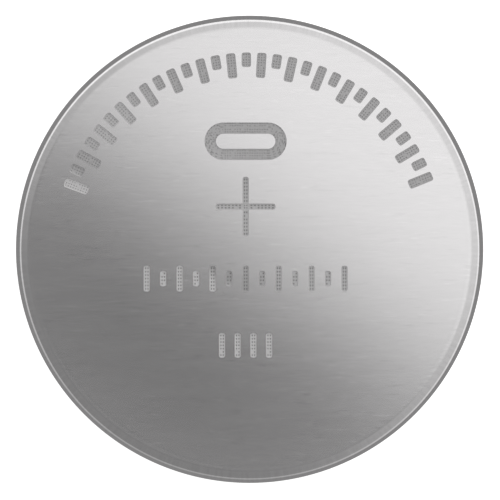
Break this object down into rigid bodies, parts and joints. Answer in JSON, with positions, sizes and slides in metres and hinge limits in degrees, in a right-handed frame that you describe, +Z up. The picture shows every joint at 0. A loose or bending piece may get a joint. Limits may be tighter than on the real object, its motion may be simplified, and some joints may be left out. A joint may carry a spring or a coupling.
{
  "type": "lithium coin cell",
  "caption": "Thin round coin cell: a drawn steel can rolled over a sealing gasket onto a stepped steel cap, with its pellet, grid, separator and lithium disc inside.",
  "frame": {"origin": "centre of the negative contact face, on the surface that the cell rests on", "axes": "+Z up through the positive face, +Y towards the arc of marks, +X to the right of the marks as seen from above"},
  "size_m": [0.02, 0.02, 0.0016],
  "materials": {
    "can_steel": "fine brushed grain across the face, satin wall",
    "cap_steel": "fine matt rolled finish",
    "gasket_plastic": "milky moulded plastic",
    "cathode_black": "matt pressed powder",
    "grid_steel": "plain stainless steel",
    "separator_white": "matt nonwoven plastic",
    "lithium_metal": "soft dull metal"
  },
  "bodies": {
    "root": {"positive_can": "can_steel", "negative_cap": "cap_steel", "sealing_gasket": "gasket_plastic", "cathode_pellet": "cathode_black", "cathode_collector": "grid_steel", "separator": "separator_white", "lithium_disc": "lithium_metal"}
  },
  "joints": []
}
